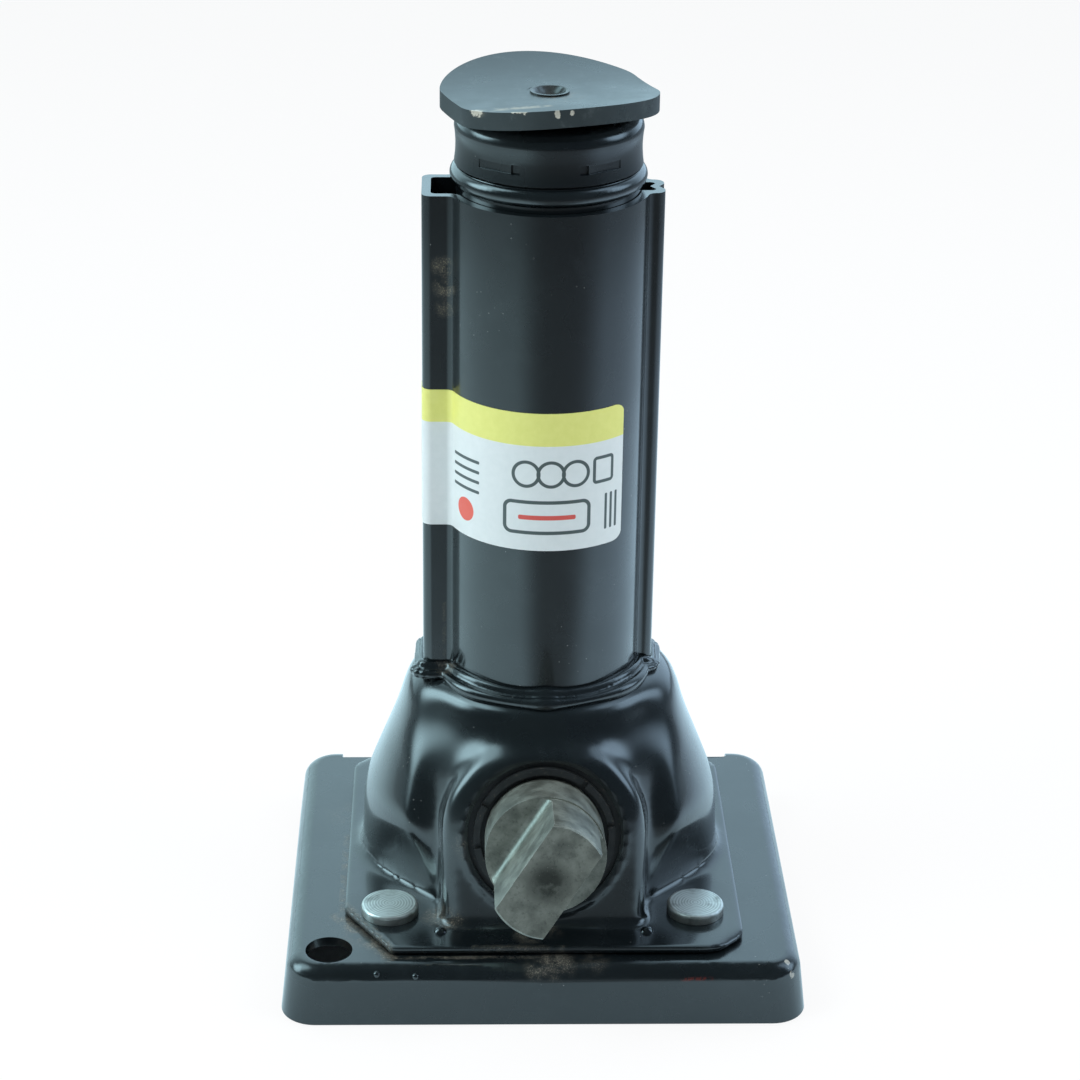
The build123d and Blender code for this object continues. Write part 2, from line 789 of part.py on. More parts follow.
def middle_screw():
    """Hollow screw between the stages, with a nut bore at its lower end."""
    height = middle_screw_top - middle_screw_bottom
    screw = disc(middle_screw_radius, middle_screw_bottom, height)
    screw += disc(middle_flange_radius, middle_screw_bottom, middle_flange_height)
    screw -= disc(main_screw_radius + running_clearance, middle_screw_bottom, height)
    screw -= disc(middle_bore_radius, middle_nut_top, height)
    return screw


def middle_collar():
    """Retaining ring that holds the foot on the hollow screw."""
    bottom = middle_tube_bottom + axial_clearance
    return ring(middle_collar_radius, middle_screw_radius, bottom, middle_collar_height)


def middle_screw_stop():
    """Ring at the top of the hollow screw that ends the ram's travel."""
    return ring(
        middle_screw_radius + screw_stop_reach,
        middle_screw_radius,
        middle_stop_bottom,
        screw_stop_height,
    )


def ram_nut():
    """Nut pressed into the foot of the ram tube."""
    return ring(
        ram_tube_inner_radius,
        middle_screw_radius + running_clearance,
        ram_tube_bottom_height,
        ram_nut_height,
    )


def ram_tube():
    """Inner tube that carries the saddle."""
    height = cap_ceiling_height - ram_tube_bottom_height
    return ring(ram_tube_radius, ram_tube_inner_radius, ram_tube_bottom_height, height)


def ram_key():
    """Key on the ram tube that runs in the middle tube's groove."""
    outer = ram_tube_radius + ram_key_depth
    key = Pos(0, outer / 2, ram_tube_bottom_height + ram_key_height) * Box(
        ram_key_width, outer, ram_key_height
    )
    return key - disc(ram_tube_radius, 0, column_top_height)


def ram_cap():
    """Pressed cap over the ram tube, slightly waisted."""
    inner = ram_tube_radius + running_clearance
    shoulder_start = cap_top_height - cap_shoulder_radius
    ceiling = cap_ceiling_height
    middle = (cap_skirt_bottom_height + shoulder_start) / 2
    top_edge = (cap_radius - cap_shoulder_radius, cap_top_height)
    shoulder_foot = (cap_radius, shoulder_start)
    skirt_edge = (cap_radius, cap_skirt_bottom_height)
    outline = Polyline(
        skirt_edge,
        (inner, cap_skirt_bottom_height),
        (inner, ceiling),
        (0, ceiling),
        (0, cap_top_height),
        top_edge,
    )
    outline += RadiusArc(top_edge, shoulder_foot, cap_shoulder_radius)
    outline += Spline(shoulder_foot, (cap_waist_radius, middle), skirt_edge)
    cap = revolve(Plane.XZ * make_face(outline), Axis.Z)
    cap -= disc(saddle_rivet_shank_radius, cap_skirt_bottom_height, cap_top_height)
    return cap


def saddle():
    """Round saddle plate with trimmed ends and a trough across it, turned on its rivet."""
    bottom = cap_top_height
    top = bottom + saddle_thickness
    reach = saddle_radius
    lower = bottom + saddle_trough_depth
    upper = top + saddle_trough_depth
    bend = (reach**2 + saddle_trough_depth**2) / (2 * saddle_trough_depth)
    section = Line((reach, upper), (reach, lower)) + Line((-reach, lower), (-reach, upper))
    section += RadiusArc((-reach, upper), (reach, upper), -bend)
    section += RadiusArc((reach, lower), (-reach, lower), bend)
    plate = extrude(Plane.YZ * make_face(section), 2 * saddle_radius, both=True)
    plan = Circle(saddle_radius) & Rectangle(2 * saddle_half_length, 4 * saddle_radius)
    plan = fillet(plan.vertices(), saddle_corner_radius)
    plate &= extrude(Plane.XY.offset(bottom - saddle_thickness) * plan, 4 * saddle_thickness)
    plate -= disc(saddle_rivet_shank_radius, bottom - saddle_thickness, 4 * saddle_thickness)
    return Rot(0, 0, saddle_turn) * (plate - disc(saddle_rivet_radius, top, saddle_trough_depth))


def saddle_rivet():
    """Peened rivet that holds the saddle on the cap, with a dished head."""
    top = cap_top_height + saddle_thickness
    bottom = cap_ceiling_height
    rivet = disc(saddle_rivet_shank_radius, bottom, top - bottom)
    rivet += disc(saddle_rivet_radius, top, saddle_rivet_head_height)
    tail_bottom = bottom - saddle_rivet_tail_height
    rivet += disc(saddle_rivet_tail_radius, tail_bottom, saddle_rivet_tail_height)
    dish_middle = top + saddle_rivet_head_height - saddle_rivet_dish / 2
    dish = Cone(saddle_rivet_dish_radius / 2, saddle_rivet_dish_radius, saddle_rivet_dish)
    return rivet - Pos(0, 0, dish_middle) * dish


def main():
    os.makedirs("parts", exist_ok=True)
    nodes = {
        "base_plate": base_plate(),
        "gear_housing": gear_housing(),
        "housing_rivets": housing_rivets(),
        "outer_tube": outer_tube(),
        "column_weld": column_weld(),
        "bearing_seat": bearing_seat(),
        "lower_race": bearing_race(lower_race_bottom, ball_centre_height),
        "thrust_balls": thrust_balls(),
        "ball_cage": ball_cage(),
        "upper_race": bearing_race(upper_race_bottom, ball_centre_height),
        "crown_gear": crown_gear(),
        "main_screw": main_screw(),
        "main_screw_stop": main_screw_stop(),
        "drive_pinion": drive_pinion(),
        "pinion_clip": pinion_clip(),
        "drive_shaft": drive_shaft(),
        "pinion_washer": pinion_washer(),
        "pinion_bush": pinion_bush(),
        "bush_lip": bush_lip(),
        "middle_foot": middle_foot(),
        "middle_tube": middle_tube(),
        "middle_screw": middle_screw(),
        "middle_collar": middle_collar(),
        "middle_screw_stop": middle_screw_stop(),
        "ram_nut": ram_nut(),
        "ram_tube": ram_tube(),
        "ram_key": ram_key(),
        "ram_cap": ram_cap(),
        "saddle": saddle(),
        "saddle_rivet": saddle_rivet(),
    }
    for name, solid in nodes.items():
        export_step(solid, "parts/" + name + ".step")


main()
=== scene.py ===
import math

import bmesh
import bpy
from mathutils import Matrix, Vector


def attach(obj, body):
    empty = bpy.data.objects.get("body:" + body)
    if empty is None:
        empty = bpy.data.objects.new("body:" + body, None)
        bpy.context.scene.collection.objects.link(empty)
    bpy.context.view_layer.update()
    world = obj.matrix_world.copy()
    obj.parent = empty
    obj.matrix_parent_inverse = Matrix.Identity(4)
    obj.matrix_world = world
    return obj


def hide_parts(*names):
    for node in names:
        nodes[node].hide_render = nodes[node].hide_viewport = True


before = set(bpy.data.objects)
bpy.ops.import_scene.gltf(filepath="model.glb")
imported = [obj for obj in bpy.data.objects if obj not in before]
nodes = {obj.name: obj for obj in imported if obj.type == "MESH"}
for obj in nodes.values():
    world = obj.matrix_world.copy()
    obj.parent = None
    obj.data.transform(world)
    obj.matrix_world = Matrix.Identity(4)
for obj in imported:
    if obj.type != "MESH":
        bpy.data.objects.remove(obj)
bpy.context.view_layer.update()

MM = 0.001

# Sizes shared with the jack's own parts, in millimetres
flange_top = 20.6
flange_half_width = 57.5
apex_height = 38.0
shaft_tilt = 12.0
boss_face = 46.4
boss_hole_radius = 22.3
boss_half_width = 29.5
column_radius = 28.25
column_foot = 82.0
column_top = 226.0
wide_ear_reach = 34.7
wide_ear_half_depth = 10.0
narrow_ear_reach = 31.9
narrow_ear_half_depth = 6.2
label_bottom = 129.0
label_top = 170.0
label_right = 21.0
rivet_x = 44.2
rivet_y = 42.0
boss_foot_x = 29.6
boss_foot_y = -53.0
bell_fullness = 5.0
cap_waist_radius = 25.5
rivet_hollow_height = 255.2
stake_height = 237.6

shaft_direction = Vector((0, -math.cos(math.radians(shaft_tilt)), math.sin(math.radians(shaft_tilt))))


def tilted(distance):
    """Point on the shaft's axis, in metres, at a distance from the apex."""
    return (Vector((0, 0, apex_height)) + distance * shaft_direction) * MM


# Workshop helpers


def deselect():
    if bpy.context.object and bpy.context.object.mode != "OBJECT":
        bpy.ops.object.mode_set(mode="OBJECT")
    bpy.ops.object.select_all(action="DESELECT")


def activate(piece):
    deselect()
    piece.select_set(True)
    bpy.context.view_layer.objects.active = piece


def modify(piece, kind, **settings):
    """Add a modifier and apply it."""
    activate(piece)
    modifier = piece.modifiers.new(kind.title(), kind)
    for key, value in settings.items():
        setattr(modifier, key, value)
    bpy.ops.object.modifier_apply(modifier=modifier.name)
    return piece


def smooth(piece, angle=35, weighted=True):
    """Shade smooth; weighted keeps large faces flat beside their broken edges."""
    activate(piece)
    bpy.ops.object.shade_smooth_by_angle(angle=math.radians(angle))
    if weighted:
        modify(piece, "WEIGHTED_NORMAL", keep_sharp=True, weight=80)
    return piece


def rest(piece):
    """Put the place, turn and size of a piece into its mesh."""
    activate(piece)
    bpy.ops.object.transform_apply(location=True, rotation=True, scale=True)
    return piece


def join(pieces, name):
    deselect()
    for piece in pieces:
        piece.select_set(True)
    bpy.context.view_layer.objects.active = pieces[0]
    bpy.ops.object.join()
    pieces[0].name = name
    return pieces[0]


def pressed_copy(node, name):
    """Copy of a CAD node with its loose triangles merged and its custom normals cleared."""
    piece = bpy.data.objects.new(name, nodes[node].data.copy())
    bpy.context.scene.collection.objects.link(piece)
    piece.data.materials.clear()
    activate(piece)
    bpy.ops.object.mode_set(mode="EDIT")
    bpy.ops.mesh.select_all(action="SELECT")
    bpy.ops.mesh.remove_doubles(threshold=0.004 * MM)
    bpy.ops.object.mode_set(mode="OBJECT")
    if piece.data.has_custom_normals:
        bpy.ops.mesh.customdata_custom_splitnormals_clear()
    return piece


def soften(piece, width, segments=2, angle=30, slot=-1):
    """Break the sharp edges; slot gives the new faces a material of their own."""
    return modify(
        piece,
        "BEVEL",
        width=width * MM,
        segments=segments,
        limit_method="ANGLE",
        angle_limit=math.radians(angle),
        miter_outer="MITER_ARC",
        harden_normals=False,
        material=slot,
    )


def flats(piece, angle=0.6):
    return modify(piece, "DECIMATE", decimate_type="DISSOLVE", angle_limit=math.radians(angle))


def vertex_weights(piece, name, weight_of):
    group = piece.vertex_groups.new(name=name)
    for vertex in piece.data.vertices:
        group.add([vertex.index], weight_of(vertex.co / MM), "REPLACE")
    return name


def cut(piece, tool, operation="DIFFERENCE"):
    modify(piece, "BOOLEAN", operation=operation, object=tool, solver="EXACT")
    bpy.data.objects.remove(tool)
    return piece


def dress(piece, body, slot, materials, *replaced):
    piece.data.materials.clear()
    for material in materials:
        piece.data.materials.append(material)
    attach(piece, body)
    if replaced:
        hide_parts(*replaced)
    return piece


# Finishes


class Finish:
    """A node material, built link by link."""

    def __init__(self, name):
        self.material = bpy.data.materials.new(name)
        self.material.use_nodes = True
        self.tree = self.material.node_tree
        self.shader = self.tree.nodes["Principled BSDF"]
        self.place = self.tree.nodes.new("ShaderNodeTexCoord").outputs["Object"]

    def node(self, kind, settings=None, **inputs):
        made = self.tree.nodes.new(kind)
        for key, value in (settings or {}).items():
            setattr(made, key, value)
        for key, value in inputs.items():
            socket = made.inputs[int(key[1:])] if key[0] == "_" else made.inputs[key.replace("_", " ")]
            self.feed(socket, value)
        return made

    def feed(self, socket, value):
        if isinstance(value, bpy.types.NodeSocket):
            self.tree.links.new(value, socket)
        else:
            socket.default_value = value

    def noise(self, scale, detail=3.0, rough=0.5, place=None):
        made = self.node("ShaderNodeTexNoise", Scale=scale, Detail=detail, Roughness=rough)
        self.feed(made.inputs["Vector"], place or self.place)
        return made.outputs["Fac"]

    def span(self, value, low, high, to_low=0.0, to_high=1.0, smoothly=True):
        kind = {"interpolation_type": "SMOOTHSTEP"} if smoothly else {}
        made = self.node("ShaderNodeMapRange", kind, _0=value, _1=low, _2=high, _3=to_low, _4=to_high)
        return made.outputs["Result"]

    def math(self, operation, first, second=0.0):
        return self.node("ShaderNodeMath", {"operation": operation}, _0=first, _1=second).outputs[0]

    def near(self, centre, low, high):
        """1 inside a distance of a point, fading to 0, in millimetres."""
        away = self.node("ShaderNodeVectorMath", {"operation": "DISTANCE"}, _0=self.place,
                         _1=[c * MM for c in centre])
        return self.span(away.outputs["Value"], low * MM, high * MM, 1.0, 0.0)

    def vector(self, operation, first, second=(0.0, 0.0, 0.0), output="Vector"):
        made = self.node("ShaderNodeVectorMath", {"operation": operation}, _0=first, _1=second)
        return made.outputs[output]

    def along(self, start, end, low, high):
        """1 beside a straight run between two points, fading to 0, in millimetres."""
        start, end = Vector(start) * MM, Vector(end) * MM
        run = end - start
        from_start = self.vector("SUBTRACT", self.place, tuple(start))
        walked = self.vector("DOT_PRODUCT", from_start, tuple(run / run.length_squared), "Value")
        walked = self.node("ShaderNodeClamp", Value=walked).outputs[0]
        scaled = self.node("ShaderNodeVectorMath", {"operation": "SCALE"}, _0=tuple(run), Scale=walked)
        away = self.vector("DISTANCE", from_start, scaled.outputs[0], "Value")
        return self.span(away, low * MM, high * MM, 1.0, 0.0)

    def most(self, shares):
        total = shares[0]
        for share in shares[1:]:
            total = self.math("MAXIMUM", total, share)
        return total

    def mix(self, share, first, second):
        made = self.node("ShaderNodeMix", {"data_type": "RGBA"}, _0=share, _6=first, _7=second)
        return made.outputs[2]

    def set(self, **values):
        for key, value in values.items():
            self.feed(self.shader.inputs[key.replace("_", " ")], value)
        return self

    def bump(self, height, strength, distance):
        previous = self.shader.inputs["Normal"]
        made = self.node("ShaderNodeBump", Strength=strength, Distance=distance * MM, Height=height)
        if previous.is_linked:
            self.tree.links.new(previous.links[0].from_socket, made.inputs["Normal"])
        self.tree.links.new(made.outputs["Normal"], previous)
        return self


def rgb(red, green, blue):
    return (red, green, blue, 1.0)


def paint_finish(name, dust_spots=(), dust_runs=(), dust=rgb(0.30, 0.27, 0.21), chips=(), smears=()):
    """Gloss black paint with faint smears, fine specks, settled dust and small chips."""
    finish = Finish(name)
    cloud = finish.noise(38.0, 4.0)
    body = finish.mix(cloud, rgb(0.0030, 0.0048, 0.0058), rgb(0.0065, 0.0098, 0.0115))
    smear = finish.span(finish.noise(95.0, 5.0, 0.6), 0.5, 0.72)
    body = finish.mix(finish.math("MULTIPLY", smear, 0.22), body, rgb(0.020, 0.027, 0.030))
    speck = finish.node("ShaderNodeTexVoronoi", Scale=520.0)
    finish.feed(speck.inputs["Vector"], finish.place)
    chosen = finish.span(finish.noise(70.0, 2.0), 0.60, 0.64)
    dots = finish.math("MULTIPLY", finish.span(speck.outputs["Distance"], 0.05, 0.11, 1.0, 0.0), chosen)
    body = finish.mix(finish.math("MULTIPLY", dots, 0.6), body, rgb(0.30, 0.32, 0.31))
    roughness = finish.span(finish.noise(55.0, 4.0), 0.3, 0.7, 0.22, 0.34)
    shares = [finish.math("MULTIPLY", finish.near(spot[:3], *spot[3:5]), spot[5]) for spot in dust_spots]
    shares += [finish.math("MULTIPLY", finish.along(*run[:4]), run[4]) for run in dust_runs]
    if shares:
        grain = finish.span(finish.noise(2600.0, 3.0, 0.7), 0.50, 0.66)
        patch = finish.span(finish.noise(260.0, 5.0, 0.7), 0.36, 0.64)
        film = finish.math("MULTIPLY", finish.most(shares), patch)
        body = finish.mix(finish.math("MULTIPLY", film, 0.16), body, dust)
        total = finish.math("MULTIPLY", film, grain)
        body = finish.mix(total, body, dust)
        roughness = finish.math("ADD", roughness, finish.math("MULTIPLY", film, 0.35))
    ragged = finish.noise(700.0, 4.0, 0.6)
    for x, y, z, reach in chips:
        spot = finish.near((x, y, z), reach * 0.2, reach)
        bare = finish.span(finish.math("ADD", spot, finish.math("MULTIPLY", ragged, 0.9)), 0.98, 1.04)
        body = finish.mix(bare, body, finish.mix(ragged, rgb(0.10, 0.10, 0.09), rgb(0.52, 0.52, 0.46)))
    for run in smears:
        streak = finish.math("MULTIPLY", finish.along(*run), finish.span(ragged, 0.42, 0.55))
        body = finish.mix(finish.math("MULTIPLY", streak, 0.6), body, rgb(0.20, 0.022, 0.012))
    finish.set(Base_Color=body, Roughness=roughness, IOR=1.5, Coat_Weight=0.9, Coat_Roughness=0.10)
    finish.bump(finish.noise(900.0, 2.0), 0.08, 0.02)
    finish.bump(finish.noise(120.0, 2.0), 0.10, 0.08)
    return finish.material


def zinc_finish():
    """Bright zinc with the turned rings of the four rivet heads."""
    finish = Finish("Bright zinc")
    cloud = finish.noise(300.0, 5.0, 0.6)
    corner = finish.vector("ABSOLUTE", finish.place)
    flat = finish.vector("MULTIPLY", corner, (1.0, 1.0, 0.0))
    reach = finish.vector("DISTANCE", flat, (rivet_x * MM, rivet_y * MM, 0.0), "Value")
    wobble = finish.math("MULTIPLY", finish.noise(260.0, 3.0), 0.0006)
    ring = finish.math("SINE", finish.math("MULTIPLY", finish.math("ADD", reach, wobble), 7600.0))
    ring = finish.span(ring, -1.0, 1.0)
    stain = finish.span(finish.noise(170.0, 5.0, 0.6), 0.50, 0.70)
    colour = finish.mix(cloud, rgb(0.52, 0.56, 0.54), rgb(0.82, 0.86, 0.83))
    grooves = finish.math("MULTIPLY", ring, finish.span(cloud, 0.3, 0.6, 0.2, 0.6))
    colour = finish.mix(grooves, colour, rgb(0.24, 0.26, 0.25))
    colour = finish.mix(finish.math("MULTIPLY", stain, 0.55), colour, rgb(0.09, 0.10, 0.085))
    finish.set(Base_Color=colour, Metallic=0.85, Roughness=finish.span(cloud, 0.3, 0.7, 0.30, 0.46))
    finish.bump(ring, 0.30, 0.04)
    finish.bump(finish.noise(1400.0, 3.0), 0.20, 0.03)
    return finish.material


def steel_finish(name, dark, light, rough_low, rough_high, blotches=()):
    """Bare steel with a cloudy oxide, fine scratches and darker blotches."""
    finish = Finish(name)
    cloud = finish.noise(170.0, 5.0, 0.6)
    streak = finish.noise(900.0, 4.0, 0.7)
    colour = finish.mix(finish.span(cloud, 0.3, 0.7), dark, light)
    scratch = finish.math("MULTIPLY", finish.span(streak, 0.5, 0.7), 0.35)
    colour = finish.mix(scratch, colour, rgb(0.03, 0.032, 0.028))
    for spot in blotches:
        mottled = finish.math("MULTIPLY", finish.near(spot[:3], *spot[3:]), finish.span(cloud, 0.3, 0.6))
        colour = finish.mix(finish.math("MULTIPLY", mottled, 0.85), colour, rgb(0.012, 0.014, 0.012))
    pale = finish.span(finish.noise(2200.0, 2.0), 0.70, 0.74)
    colour = finish.mix(finish.math("MULTIPLY", pale, 0.5), colour, rgb(0.40, 0.42, 0.38))
    finish.set(Base_Color=colour, Metallic=0.6, Roughness=finish.span(cloud, 0.3, 0.7, rough_low, rough_high))
    finish.bump(streak, 0.25, 0.03)
    return finish.material


def worn_and_highlit_edge_finish(name, covered, bare, low, high):
    """Edge on which the cover has rubbed through in places; on the tang and the saddle rivet the pale colour is also
    a painted highlight.
    """
    finish = Finish(name)
    # Mask for the pale colour: real wear on the column rim, and also a painted highlight on the ground edge.
    rubbed = finish.span(finish.noise(240.0, 6.0, 0.7), low, high)
    finish.set(
        Base_Color=finish.mix(rubbed, covered, bare),
        Roughness=finish.span(rubbed, 0.0, 1.0, 0.25, 0.40),
    )
    finish.bump(finish.noise(900.0, 3.0), 0.2, 0.03)
    return finish.material


def saddle_finish():
    """Thin grey-black paint, rubbed by axle tubes, with rust round the rivet."""
    finish = Finish("Scuffed saddle paint")
    cloud = finish.noise(70.0, 5.0, 0.6)
    body = finish.mix(cloud, rgb(0.020, 0.030, 0.033), rgb(0.046, 0.060, 0.064))
    scuff = finish.span(finish.noise(260.0, 6.0, 0.7), 0.55, 0.75)
    body = finish.mix(finish.math("MULTIPLY", scuff, 0.4), body, rgb(0.12, 0.145, 0.15))
    rust = finish.math("MULTIPLY", finish.near((2, -6, 253), 3, 9), finish.span(finish.noise(420.0, 5.0), 0.45, 0.6))
    body = finish.mix(finish.math("MULTIPLY", rust, 0.35), body, rgb(0.10, 0.075, 0.045))
    rub = finish.math("MULTIPLY", finish.along((-19, -22, 254), (-2, -18, 253), 0.8, 3.0),
                      finish.span(finish.noise(330.0, 5.0), 0.40, 0.58))
    body = finish.mix(finish.math("MULTIPLY", rub, 0.6), body, rgb(0.34, 0.32, 0.25))
    ragged = finish.noise(420.0, 5.0, 0.75)
    chips = [
        finish.near((-20.5, -22.5, 254.4), 0.9, 4.6),
        finish.near((5.2, -29.3, 255.0), 0.1, 1.7),
        finish.along((-17.5, -24.1, 255.0), (-7.5, -28.7, 255.0), 0.1, 1.8),
        finish.along((1.0, -29.6, 255.4), (1.2, -29.9, 254.2), 0.1, 1.5),
    ]
    worn = finish.math("ADD", finish.most(chips), finish.math("MULTIPLY", ragged, 2.4))
    bare = finish.span(worn, 1.82, 1.92)
    body = finish.mix(bare, body, finish.mix(ragged, rgb(0.12, 0.12, 0.10), rgb(0.80, 0.78, 0.66)))
    finish.set(Base_Color=body, Roughness=finish.span(cloud, 0.3, 0.7, 0.26, 0.36), IOR=1.5)
    finish.bump(finish.noise(800.0, 3.0), 0.12, 0.03)
    return finish.material


def plastic_finish():
    finish = Finish("Moulded black nylon")
    cloud = finish.noise(240.0, 4.0)
    body = finish.mix(cloud, rgb(0.010, 0.012, 0.013), rgb(0.026, 0.029, 0.030))
    dust = finish.span(finish.noise(900.0, 5.0, 0.7), 0.58, 0.70)
    body = finish.mix(finish.math("MULTIPLY", dust, 0.45), body, rgb(0.14, 0.12, 0.09))
    finish.set(Base_Color=body, Roughness=finish.span(cloud, 0.3, 0.7, 0.30, 0.42))
    finish.bump(finish.noise(1200.0, 3.0), 0.2, 0.03)
    return finish.material


def label_finish():
    """Vinyl label: a lime band over white, with a plain printed pattern of rings and bars."""
    finish = Finish("Printed vinyl")
    parts = finish.node("ShaderNodeSeparateXYZ", _0=finish.place)
    forward = finish.math("MULTIPLY", parts.outputs["Y"], -1.0)
    around = finish.math("MULTIPLY", finish.math("ARCTAN2", parts.outputs["X"], forward), column_radius * MM)
    sheet = finish.node("ShaderNodeCombineXYZ", X=around, Y=parts.outputs["Z"]).outputs[0]

    def inside(away):
        return finish.span(away, 0.0, 0.15 * MM, 1.0, 0.0)

    def ring(x, z, radius, line):
        away = finish.vector("DISTANCE", sheet, (x * MM, z * MM, 0.0), "Value")
        away = finish.math("ABSOLUTE", finish.math("SUBTRACT", away, radius * MM))
        return inside(finish.math("SUBTRACT", away, line / 2 * MM))

    def panel(x, z, half_width, half_height, corner, line=0.0):
        away = finish.vector("ABSOLUTE", finish.vector("SUBTRACT", sheet, (x * MM, z * MM, 0.0)))
        flat = ((half_width - corner) * MM, (half_height - corner) * MM, 0.0)
        away = finish.vector("MAXIMUM", finish.vector("SUBTRACT", away, flat))
        away = finish.math("SUBTRACT", finish.vector("LENGTH", away, output="Value"), corner * MM)
        if line:
            away = finish.math("SUBTRACT", finish.math("ABSOLUTE", away), line / 2 * MM)
        return inside(away)

    grey = [ring(x, 152.0, 3.6, 0.8) for x in (-6.0, 1.0, 8.0)]
    grey += [panel(16.5, 152.0, 3.0, 3.6, 0.8, 0.8), panel(0.0, 139.0, 12.0, 4.6, 2.0, 0.9)]
    grey += [panel(-26.0, z, 5.5, 0.4, 0.3) for z in (152.5, 149.5, 146.5, 143.5)]
    grey += [panel(17.5 + 1.8 * k, 139.0, 0.35, 5.4, 0.3) for k in range(3)]
    height = parts.outputs["Z"]
    band = finish.span(height, (label_top - 9.7) * MM, (label_top - 9.5) * MM)
    grain = finish.noise(500.0, 3.0)
    white = finish.mix(grain, rgb(0.70, 0.77, 0.77), rgb(0.78, 0.84, 0.84))
    lime = finish.mix(grain, rgb(0.76, 0.78, 0.20), rgb(0.84, 0.85, 0.26))
    colour = finish.mix(band, white, lime)
    colour = finish.mix(finish.most(grey), colour, rgb(0.075, 0.105, 0.105))
    colour = finish.mix(ring(-26.0, 137.0, 1.7, 3.4), colour, rgb(0.78, 0.13, 0.09))
    colour = finish.mix(panel(0.0, 139.0, 8.0, 0.6, 0.4), colour, rgb(0.70, 0.10, 0.08))
    finish.set(Base_Color=colour, Roughness=finish.span(grain, 0.3, 0.7, 0.30, 0.42))
    finish.bump(grain, 0.08, 0.02)
    return finish.material


pan_dust_spots = [
    (3, -64.5, 18, 1, 8, 1.0), (-2, -67, 17, 1, 5, 0.8), (-52, -50, 18, 3, 10, 0.25),
    (14, -64, 18, 1, 6, 0.4), (-57, 20, 18, 3, 12, 0.2),
]
pan_dust_runs = [
    ((-58.2, -38, 18.2), (-58.2, 6, 18.2), 0.4, 1.6, 0.8),
    ((-59, -40.5, 18.2), (-44.5, -62.5, 18.2), 0.8, 3.2, 1.0),
    ((-43, -62.6, 18.2), (6, -62.6, 18.2), 0.2, 1.2, 0.9),
]
housing_dust_spots = [
    (-30, -45, 22, 1, 7, 0.9), (-26, -49, 22, 1, 6, 0.7), (-4, -55, 21, 1, 6, 0.8),
    (2, -54, 21, 1, 4, 0.6), (-40, -36, 25, 2, 9, 0.3), (-22, -48, 45, 1, 6, 0.35),
]
housing_dust_runs = [
    ((-57, -38, 20), (-44, -60.5, 20), 0.4, 2.0, 0.7),
    ((-42, -36, 24), (-28, -46, 22), 0.3, 1.8, 0.8),
    ((-40, -33, 26), (-30, -42, 25), 0.3, 1.5, 0.5),
    ((-20, -61, 20), (5, -61, 20), 0.2, 1.4, 0.5),
]
column_dust_spots = [
    (-29.0, -10.6, 206, 1, 4, 0.9), (-28.6, -10.6, 200, 1, 4, 0.9), (-28.4, -10.6, 194, 1, 3.5, 0.8),
]
column_dust_runs = [
    ((-28.0, -11.2, 186), (-28.0, -11.2, 220), 0.2, 1.1, 0.8),
    ((-28.6, -10.8, 84), (-28.6, -10.8, 104), 0.3, 1.2, 0.7),
]

pan_paint = paint_finish(
    "Gloss black, pan", pan_dust_spots, pan_dust_runs,
    chips=[(71.3, -67.3, 14.5, 3.4), (69, -64.5, 17.5, 1.6)],
    smears=[((39, -69.4, 14.6), (47, -69.4, 14.9), 0.3, 1.1)],
)
housing_paint = paint_finish("Gloss black, housing", housing_dust_spots, housing_dust_runs)
column_paint = paint_finish(
    "Gloss black, column", column_dust_spots, column_dust_runs, rgb(0.36, 0.31, 0.20)
)
weld_paint = paint_finish("Gloss black, weld", (), [((-27, -13, 83), (-29, -11, 90), 1.0, 4.0, 0.7)])
cap_paint = paint_finish("Gloss black, cap")
zinc = zinc_finish()
tang_steel = steel_finish(
    "Bare forged steel", rgb(0.150, 0.165, 0.145), rgb(0.300, 0.320, 0.280), 0.34, 0.52,
    [tuple(c / MM for c in tilted(86.6)) + (2.0, 9.0)],
)
# Edges of the tang and the saddle rivet: worn steel, with the pale colour also a painted highlight along the edges.
ground_edge_and_highlight = worn_and_highlit_edge_finish(
    "Ground edge with painted highlight", rgb(0.12, 0.135, 0.125), rgb(0.62, 0.68, 0.64), 0.34, 0.60
)
rubbed_edge = worn_and_highlit_edge_finish(
    "Rubbed paint edge", rgb(0.012, 0.018, 0.020), rgb(0.42, 0.45, 0.43), 0.58, 0.66
)
inner_steel = steel_finish("Machined steel", rgb(0.22, 0.23, 0.24), rgb(0.34, 0.35, 0.36), 0.25, 0.4)
saddle_paint = saddle_finish()
rivet_steel = steel_finish("Dark peened rivet", rgb(0.012, 0.015, 0.016), rgb(0.08, 0.09, 0.09), 0.18, 0.30)
nylon = plastic_finish()
vinyl = label_finish()


# The jack's pieces


def pan():
    """Pressed base pan, with two small pips left by the press on its front bend."""
    piece = pressed_copy("base_plate", "pan")
    flats(piece)
    soften(piece, 0.35, 2)
    pips = [ball(place, 1.0) for place in ((-47.4, -67.9, 15.9), (-36.5, -68.1, 15.3))]
    piece = join([piece] + pips, "pan")
    smooth(piece, 40)
    return dress(piece, "root", "black_paint", [pan_paint], "base_plate")


def on_tilt(piece):
    piece.rotation_mode = "QUATERNION"
    piece.rotation_quaternion = shaft_direction.to_track_quat("Z", "Y")
    return rest(piece)


def tilted_bar(radius, start, end, sides=96):
    deselect()
    bpy.ops.mesh.primitive_cylinder_add(
        vertices=sides, radius=radius * MM, depth=(end - start) * MM, location=tilted((start + end) / 2)
    )
    return on_tilt(bpy.context.object)


